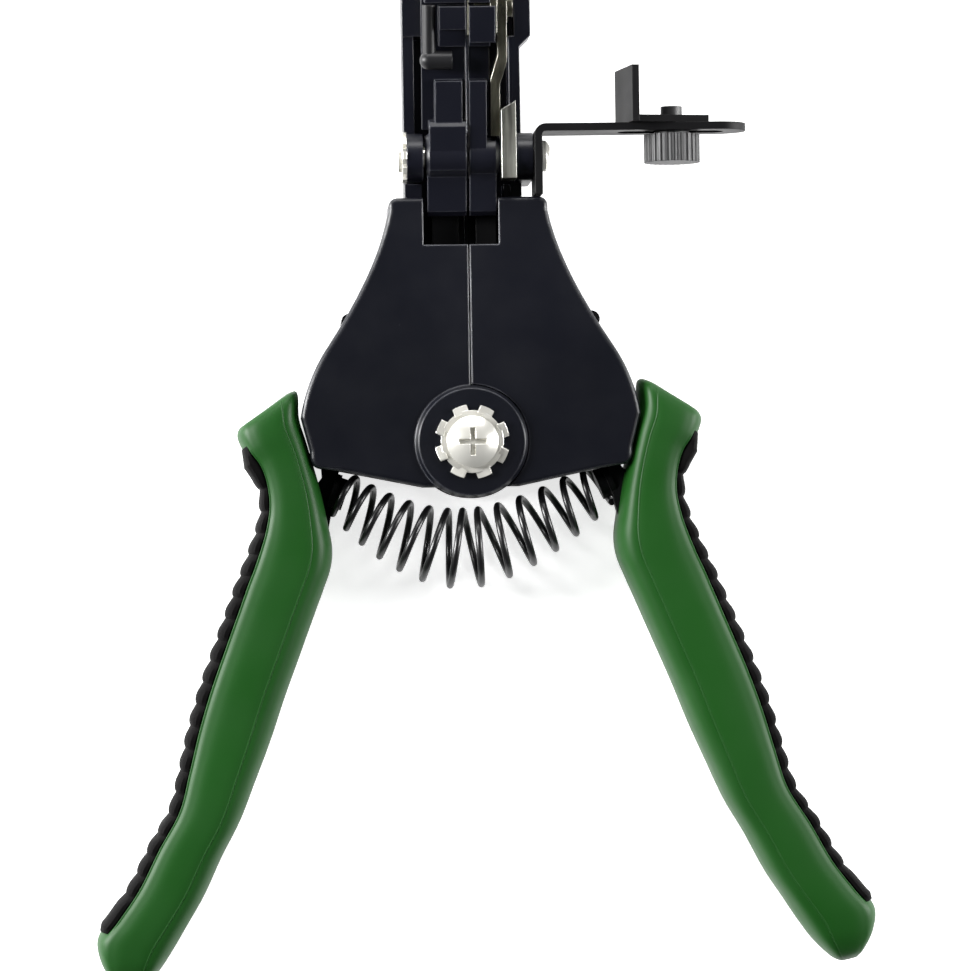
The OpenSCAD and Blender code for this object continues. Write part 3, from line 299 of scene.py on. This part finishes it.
# Both handles lean to the right of the body at rest
LEAN = math.radians(1.5)
GRIP_LEAN = math.radians(1.2)


def leaning(point, lean=LEAN):
    x, y, z = point
    return (x * math.cos(lean) - y * math.sin(lean), x * math.sin(lean) + y * math.cos(lean), z)


# Grip stations from the top down: inner edge X, Y, outer edge X, Y, share of the thickness
GRIP_T = 18
GRIP_STATIONS = np.array([
    [33.6, 10.4, 41.8, 4.7, 0.62], [32.3, 10.7, 43.1, 3.9, 0.82], [31.8, 9.4, 43.4, 2.2, 0.94],
    [31.8, 5.5, 42.2, -0.6, 1], [30.6, 1.0, 40.1, -3.4, 1], [29.3, -4.0, 39.0, -6.8, 1],
    [28.1, -9.0, 38.8, -10.8, 1], [27.1, -14.5, 39.7, -14.8, 1], [26.5, -18.7, 41.0, -18.3, 1],
    [26.9, -22.5, 42.5, -22.0, 1], [28.3, -26.3, 43.8, -25.0, 1], [30.2, -31.0, 45.2, -28.6, 1],
    [33.4, -39.0, 48.2, -36.2, 1], [36.4, -46.5, 51.1, -43.7, 1], [39.3, -54.3, 53.5, -51.0, 1],
    [42.5, -62.0, 55.5, -58.7, 1], [45.5, -69.0, 57.6, -66.2, 1], [49.1, -75.5, 61.6, -73.0, 1],
    [52.6, -82.5, 65.5, -80.2, 1], [56.0, -88.0, 69.6, -85.8, 1], [58.7, -92.3, 72.7, -89.7, 0.97],
    [61.3, -96.0, 72.3, -94.0, 0.9], [64.0, -98.8, 70.5, -97.4, 0.74], [65.5, -99.7, 69.2, -99.0, 0.5],
])
RING_POWER = 0.62
INSERT_STATIONS = (2.75, 19.6)
INSERT_HALF_ANGLE = 45
RIB_COUNT = 23
INSERT_T = 1.1
INSERT_PROUD = 0.1
INSERT_ROOT = 0.6
RIB_SHARE = 0.5
RIB_LEAN = 1.5
RIB_FULLNESS = 0.75
RIB_CREST = 0.5 ** (1 / RIB_LEAN)
# Share of the half width where the insert's sides start to round off, and how far they fall
SIDE_START = 0.8
SIDE_FALL = 0.65
END_SHARE = 0.35
TOP_SHARE = 0.05
INSERT_ROWS = 18
# The insert is thicker where it bridges the hollow below the grip's top corner
BRIDGE_T = 0.75
BRIDGE_AT = 3.9
BRIDGE_REACH = 0.9


def spline(rows, s):
    """Smooth curve through rows at the real station number s."""
    last = len(rows) - 1
    i = min(int(s), last - 1)
    t = s - i
    p0, p1, p2, p3 = (rows[min(max(i + k, 0), last)] for k in (-1, 0, 1, 2))
    return 0.5 * (2 * p1 + (p2 - p0) * t + (2 * p0 - 5 * p1 + 4 * p2 - p3) * t * t
                  + (3 * p1 - p0 - 3 * p2 + p3) * t ** 3)


def bulge(v):
    return math.copysign(abs(v) ** RING_POWER, v)


# Each face is flat between two creases and slopes away beside them. Their places run from -1
# at the inner edge to 1 at the outer one
CREASES = (-0.47, 0.56)
SLOPES = (1.5, 1.9)
CREASE_SOFT = (0.012, 0.05)
LINE_HEIGHT = 0.1
LINE_WIDTH = 0.022
LIP_HEIGHT = 0.22
LIP_WIDTH = 2.2
# Share of the thickness where the flat face begins, and the stretch over which it forms
FACE_START = 0.62
FACE_RAMP = 0.3
GRIP_STEPS = 230
GRIP_AROUND = 96
LIP_FINE = 0.7
CREASE_FINE = 0.35


def face_drop(u):
    """How far the face lies below its flat middle."""
    inner = CREASES[0] - u
    outer = u - CREASES[1]
    drop = SLOPES[0] * 0.5 * (inner + math.hypot(inner, CREASE_SOFT[0]))
    drop += SLOPES[1] * 0.5 * (outer + math.hypot(outer, CREASE_SOFT[1]))
    return drop - LINE_HEIGHT * math.exp(-((u - CREASES[0]) / LINE_WIDTH) ** 2)


def grip_point(row, angle, out, formed=True, lip=0.0):
    """Point of the grip's ring at a station, pushed outwards by out."""
    inner, outer = np.array(row[0:2]), np.array(row[2:4])
    middle, across = (inner + outer) / 2, (outer - inner) / 2
    half = np.linalg.norm(across)
    u = bulge(math.cos(angle))
    w = bulge(math.sin(angle))
    rise = 0.0
    if formed:
        face = min(1.0, max(0.0, (abs(w) - FACE_START) / FACE_RAMP))
        rise = -face_drop(u) * face
        past = (math.degrees(abs(math.remainder(angle, 2 * math.pi))) - INSERT_HALF_ANGLE) / LIP_WIDTH
        out += lip * LIP_HEIGHT * math.exp(-(past - 1) ** 2)
    place = middle + across / half * u * (half + out)
    thick = GRIP_T * row[4] / 2
    height = w * (thick + out) + math.copysign(rise, w)
    return (place[0], place[1], GRIP_T / 2 + height)


def ring_angles(around):
    """Even angles round a ring, with finer steps at the insert's edges and at the inner creases."""
    angles = set(round(360 * i / around, 3) for i in range(around))
    for edge in (INSERT_HALF_ANGLE, 360 - INSERT_HALF_ANGLE):
        angles.update(edge + d * LIP_FINE for d in range(-6, 10))
    crease = math.degrees(math.acos(-abs(CREASES[0]) ** (1 / RING_POWER)))
    for edge in (crease, 360 - crease):
        angles.update(edge + d * CREASE_FINE for d in range(-8, 9))
    return [math.radians(a) for a in sorted(angles)]


def grip_mesh(side, material):
    """Soft skin of one grip; side is -1 for the left one and 1 for the right one."""
    angles = ring_angles(GRIP_AROUND)
    last = len(GRIP_STATIONS) - 1
    points = []
    for k in range(GRIP_STEPS + 1):
        at = last * k / GRIP_STEPS
        row = spline(GRIP_STATIONS, at)
        below, above = at - INSERT_STATIONS[0], INSERT_STATIONS[1] - at
        lip = min(1.0, max(0.0, 2 * below), max(0.0, 2 * above))
        for angle in angles:
            x, y, z = grip_point(row, angle, 0, lip=lip)
            points.append(leaning((x * side, y, z), GRIP_LEAN))
    name = "grip_shell_left" if side < 0 else "grip_shell_right"
    return add_mesh(name, points, skin_faces(GRIP_STEPS + 1, len(angles)), material, 50)


def edge_table():
    """Length along the outer edge against station number."""
    fine = [spline(GRIP_STATIONS, s / 20) for s in range(20 * (len(GRIP_STATIONS) - 1) + 1)]
    run, table = 0.0, [(0.0, 0.0)]
    for i in range(1, len(fine)):
        run += math.hypot(*(fine[i][2:4] - fine[i - 1][2:4]))
        table.append((run, i / 20))
    return np.array(table)


def insert_mesh(side, material):
    """Ribbed insert along the outer edge of one grip."""
    per_rib = across = INSERT_ROWS
    total = RIB_COUNT * per_rib
    table = edge_table()
    runs = [np.interp(s, table[:, 1], table[:, 0]) for s in INSERT_STATIONS]
    points = []
    half = math.radians(INSERT_HALF_ANGLE)
    for k in range(total + 1):
        s = np.interp(runs[0] + (runs[1] - runs[0]) * k / total, table[:, 0], table[:, 1])
        row = spline(GRIP_STATIONS, s)
        top, bottom = s - INSERT_STATIONS[0], (total - k) / per_rib * 2
        ends = min(1.0, top + TOP_SHARE, bottom + END_SHARE)
        # The first rib and the last one are plain
        turn = min(max(k / per_rib, 1 + RIB_CREST), RIB_COUNT - 2 + RIB_CREST) % 1
        crest = math.sin(math.pi * turn ** RIB_LEAN) ** RIB_FULLNESS
        rib = INSERT_T * RIB_SHARE * (1 - crest)
        bridge = BRIDGE_T * math.exp(-((s - BRIDGE_AT) / BRIDGE_REACH) ** 2)
        for i in range(across + 1):
            v = 1 - 2 * i / across
            edge = 1 - SIDE_FALL * max(0.0, (abs(v) - SIDE_START) / (1 - SIDE_START)) ** 2
            out = ends * (INSERT_T + bridge - rib) * edge + INSERT_PROUD
            x, y, z = grip_point(row, half * v, out, False)
            points.append(leaning((x * side, y, z), GRIP_LEAN))
        for i in range(across + 1):
            v = 2 * i / across - 1
            x, y, z = grip_point(row, half * v, -INSERT_ROOT, False)
            points.append(leaning((x * side, y, z), GRIP_LEAN))
    name = "ribbed_insert_left" if side < 0 else "ribbed_insert_right"
    return add_mesh(name, points, skin_faces(total + 1, 2 * (across + 1)), material, 40)


# Handle spring, as in the solids
SEAT = (26.3, -8.0)
SEAT_TILT = math.radians(21)
SEAT_PLATE_T = 1.1
SPRING_WIRE = 1.3
SPRING_COILS = 13
SPRING_MID_R = 7.1
SPRING_END_R = 4
SPRING_SAG = 11.2
SPRING_SAG_POWER = 1.75
SPRING_WAIST_POWER = 1.4
SPRING_SHIFT = 1.9
SPRING_FAN = math.radians(24)
SPRING_FAN_SHARE = 0.32
SPRING_RUSH = 0.95
SPRING_CROWD = 0.13
SPRING_Z = 9
SPRING_SEAT_GAP = 0.1


def spring_point(k, rings):
    """Middle of the wire at ring k: a barrel coil that sags and fans out between the two seats."""
    n = SPRING_COILS * rings
    turn = 2 * math.pi * k / rings
    u = 2 * (k - rings * SPRING_RUSH * math.sin(turn) / (2 * math.pi)) / n - 1
    t = u * (1 + SPRING_CROWD - SPRING_CROWD * u * u)
    off = SEAT_PLATE_T + SPRING_WIRE / 2 + SPRING_SEAT_GAP
    span = SEAT[0] - off * math.cos(SEAT_TILT)
    low = SEAT[1] - off * math.sin(SEAT_TILT) - SPRING_SAG
    tilt = SPRING_FAN * t * math.hypot(1, SPRING_FAN_SHARE) / math.hypot(t, SPRING_FAN_SHARE)
    r = SPRING_MID_R - (SPRING_MID_R - SPRING_END_R) * abs(t) ** SPRING_WAIST_POWER
    centre = np.array([span * t - SPRING_SHIFT * (1 - t * t),
                       low + SPRING_SAG * abs(t) ** SPRING_SAG_POWER, SPRING_Z])
    return centre + np.array([math.sin(tilt), -math.cos(tilt), 0]) * r * math.cos(turn) \
        + np.array([0, 0, r * math.sin(turn)])


# Direction that no stretch of wire runs along
SIDE_GUIDE = [0.31, 0.17, 0.93]


def tube_points(path, radius, sides):
    path = np.array(path)
    points = []
    for k in range(len(path)):
        along = path[min(k + 1, len(path) - 1)] - path[max(k - 1, 0)]
        along /= np.linalg.norm(along)
        side = np.cross(along, SIDE_GUIDE)
        side /= np.linalg.norm(side)
        up = np.cross(side, along)
        for i in range(sides):
            a = 2 * math.pi * i / sides
            points.append(tuple(path[k] + (side * math.cos(a) + up * math.sin(a)) * radius))
    return points


SPRING_SIDES = 14
SPRING_STEPS = 36
SPRING_CUTS = (0, 4, 9, 13)


def handle_spring_meshes(material):
    """Three stretches of one coil, split at the coils listed in SPRING_CUTS."""
    path = [leaning(spring_point(k, SPRING_STEPS)) for k in range(SPRING_COILS * SPRING_STEPS + 1)]
    points = tube_points(path, SPRING_WIRE / 2, SPRING_SIDES)
    made = []
    for part, label in enumerate(("left", "middle", "right")):
        first, last = (SPRING_CUTS[part + i] * SPRING_STEPS for i in (0, 1))
        some = points[first * SPRING_SIDES:(last + 1) * SPRING_SIDES]
        made.append(add_mesh("handle_spring_" + label, some,
                             skin_faces(last - first + 1, SPRING_SIDES), material, 60))
    return made


FRAME_SPRING_Y = 22.6
FRAME_SPRING_Z = 4.3
FRAME_SPRING_R = 1.9
FRAME_SPRING_HALF = 18.55
FRAME_SPRING_ENDS = (20.25, 20.67)
FRAME_COILS = 18
FRAME_WIRE = 0.8
FRAME_STEPS = 20
FRAME_SIDES = 10


def frame_spring_mesh(material):
    """Tension spring between the studs of the two frames, with straight ends."""
    n = FRAME_COILS * FRAME_STEPS
    path = [(-FRAME_SPRING_ENDS[0], FRAME_SPRING_Y, FRAME_SPRING_Z),
            (-FRAME_SPRING_HALF - 1, FRAME_SPRING_Y, FRAME_SPRING_Z)]
    for k in range(n + 1):
        turn = 2 * math.pi * k / FRAME_STEPS
        r = FRAME_SPRING_R * min(1, min(k, n - k) / FRAME_STEPS + 0.3)
        path.append((FRAME_SPRING_HALF * (2 * k / n - 1), FRAME_SPRING_Y + r * math.cos(turn),
                     FRAME_SPRING_Z + r * math.sin(turn)))
    path += [(FRAME_SPRING_HALF + 1, FRAME_SPRING_Y, FRAME_SPRING_Z),
             (FRAME_SPRING_ENDS[1], FRAME_SPRING_Y, FRAME_SPRING_Z)]
    return add_mesh("frame_tension_spring", tube_points(path, FRAME_WIRE / 2, FRAME_SIDES),
                    skin_faces(len(path), FRAME_SIDES), material, 60)


# ---------------------------------------------------------------- building

make_camera()
materials = make_materials()
# Pieces that look different from the rest of their slot
OWN_LOOKS = {"release_latch": "latch_steel", "pad_retainer": "satin_steel",
             "cover_left": "cover", "cover_right": "cover"}
for entry in frame["record"]["subparts"]:
    carried = nodes[entry["node"]]
    look = OWN_LOOKS.get(entry["node"], entry["material_slot"])
    carried.data.materials.clear()
    carried.data.materials.append(materials[look])
    for polygon in carried.data.polygons:
        polygon.material_index = 0

for side, label in ((-1, "left"), (1, "right")):
    shell = grip_mesh(side, materials["grip_green"])
    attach(shell, "handle_" + label)
    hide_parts("grip_" + label)
    ribs = insert_mesh(side, materials["insert_black"])
    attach(ribs, "handle_" + label)
    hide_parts("grip_insert_" + label)

left_coils, middle_coils, right_coils = handle_spring_meshes(materials["spring_steel"])
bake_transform(left_coils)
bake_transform(middle_coils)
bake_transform(right_coils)
for coils in (left_coils, middle_coils, right_coils):
    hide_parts("handle_spring")

tension = frame_spring_mesh(materials["plain_steel"])
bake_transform(tension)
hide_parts("frame_spring")


# ---------------------------------------------------------------- studio


def add_area_light(name, place, aim, size, power):
    data = bpy.data.lights.new(name, "AREA")
    data.shape = "RECTANGLE"
    data.size, data.size_y = size
    data.energy = power
    lamp = bpy.data.objects.new(name, data)
    bpy.context.scene.collection.objects.link(lamp)
    lamp.location = place
    lamp.rotation_mode = "QUATERNION"
    lamp.rotation_quaternion = (Vector(aim) - Vector(place)).to_track_quat("-Z", "Y")


FLOOR_SIZE = 6
# The floor lies just under the tool's flat back
FLOOR_Z = -0.0003
FLOOR_GLOW = 0.85
WORLD_STRENGTH = 0.08
# Middle and reach of the painted shadow under the body, where the floor's glow fades out
PAINTED_SHADOW_PLACE = (0, 0.039, 0)
PAINTED_SHADOW_REACH = (0.005, 0.012)


def make_studio():
    """White, softly glowing floor with a painted shadow under the body, a dim world and three long
    soft lights.
    """
    bpy.ops.mesh.primitive_plane_add(size=FLOOR_SIZE, location=(0, 0, FLOOR_Z))
    floor = bpy.context.object
    floor.name = "floor"
    n = Nodes("pale_floor")
    colour = n.blend(n.span(n.noise(3, 2), 0, 1), (0.86, 0.86, 0.86), (0.88, 0.88, 0.88))
    rough = n.span(n.noise(40, 2), 0.6, 0.7)
    n.join(colour, n.shader.inputs["Base Color"])
    n.join(rough, n.shader.inputs["Roughness"])
    # The floor glows softly, except in a disc under the body where the glow fades out: a painted
    # shadow under the tool
    away = n.add("ShaderNodeVectorMath", operation="DISTANCE")
    n.join(n.place, away.inputs[0])
    away.inputs[1].default_value = PAINTED_SHADOW_PLACE
    glow = n.span(away.outputs["Value"], 0.0, FLOOR_GLOW, *PAINTED_SHADOW_REACH)
    n.join(colour, n.shader.inputs["Emission Color"])
    n.join(glow, n.shader.inputs["Emission Strength"])
    floor.data.materials.append(n.material)
    world = bpy.data.worlds.new("studio")
    world.use_nodes = True
    background = world.node_tree.nodes["Background"]
    background.inputs["Color"].default_value = (0.95, 0.97, 1.0, 1)
    background.inputs["Strength"].default_value = WORLD_STRENGTH
    bpy.context.scene.world = world
    add_area_light("key", (-0.95, 0.2, 0.27), (0, 0, 0), (0.3, 0.9), 38)
    add_area_light("fill", (0.95, 0.1, 0.26), (0, 0, 0), (0.3, 0.9), 20)
    add_area_light("top", (0.0, 0.85, 0.4), (0, 0.02, 0), (1.0, 0.3), 9)


make_studio()
bpy.context.scene.view_settings.view_transform = "Standard"
